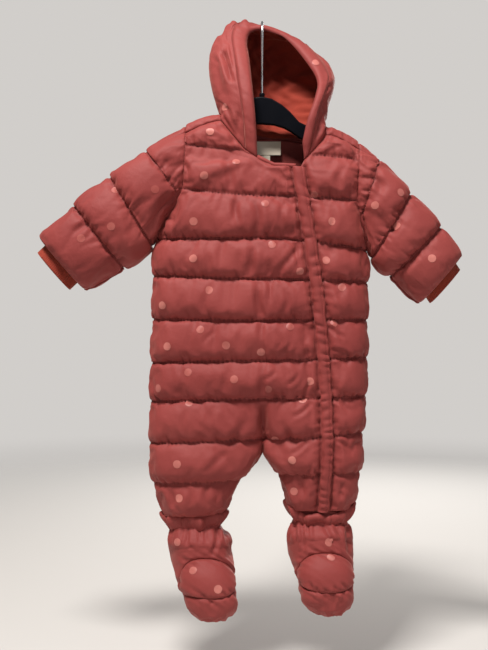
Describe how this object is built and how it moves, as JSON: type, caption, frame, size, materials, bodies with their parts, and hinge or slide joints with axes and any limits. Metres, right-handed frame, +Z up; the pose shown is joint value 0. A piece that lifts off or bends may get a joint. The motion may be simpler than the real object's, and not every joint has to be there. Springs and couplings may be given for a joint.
{
  "type": "baby snowsuit on a clothes hanger",
  "caption": "Baby's quilted one-piece snowsuit with a hood, slanted zip, rib cuffs and soft booties, hanging on a child's clothes hanger.",
  "frame": {"origin": "the inside of the hanger hook's top bend, where it rests on a rod", "axes": "+Z up, the suit's front faces -Y, and the wearer's right side is -X"},
  "size_m": [0.6002, 0.1468, 0.8531],
  "materials": {
    "shell": "padded woven polyester with a soft sheen and pale dots",
    "lining": "matt knitted lining",
    "rib": "matt rib knit",
    "label": "woven satin",
    "hanger": "fine satin",
    "steel": "bright drawn wire"
  },
  "bodies": {
    "root": {"front_main": "shell", "front_side": "shell", "zip": "shell", "zip_flap": "shell", "back": "shell", "neck_facing": "shell", "neck_binding": "shell", "hood_band": "shell", "hood_right": "shell", "hood_left": "shell", "hood_lining": "lining", "sleeve_right": "shell", "mitt_right": "shell", "cuff_right": "rib", "ankle_frill_right": "shell", "bootie_right_upper": "shell", "bootie_right_cap": "shell", "bootie_right_toe": "shell", "bootie_right_sole": "shell", "sleeve_left": "shell", "mitt_left": "shell", "cuff_left": "rib", "ankle_frill_left": "shell", "bootie_left_upper": "shell", "bootie_left_cap": "shell", "bootie_left_toe": "shell", "bootie_left_sole": "shell", "label_main": "label", "label_size": "label", "hanger_body": "hanger", "hanger_socket": "hanger", "hanger_hook": "steel"}
  },
  "joints": []
}
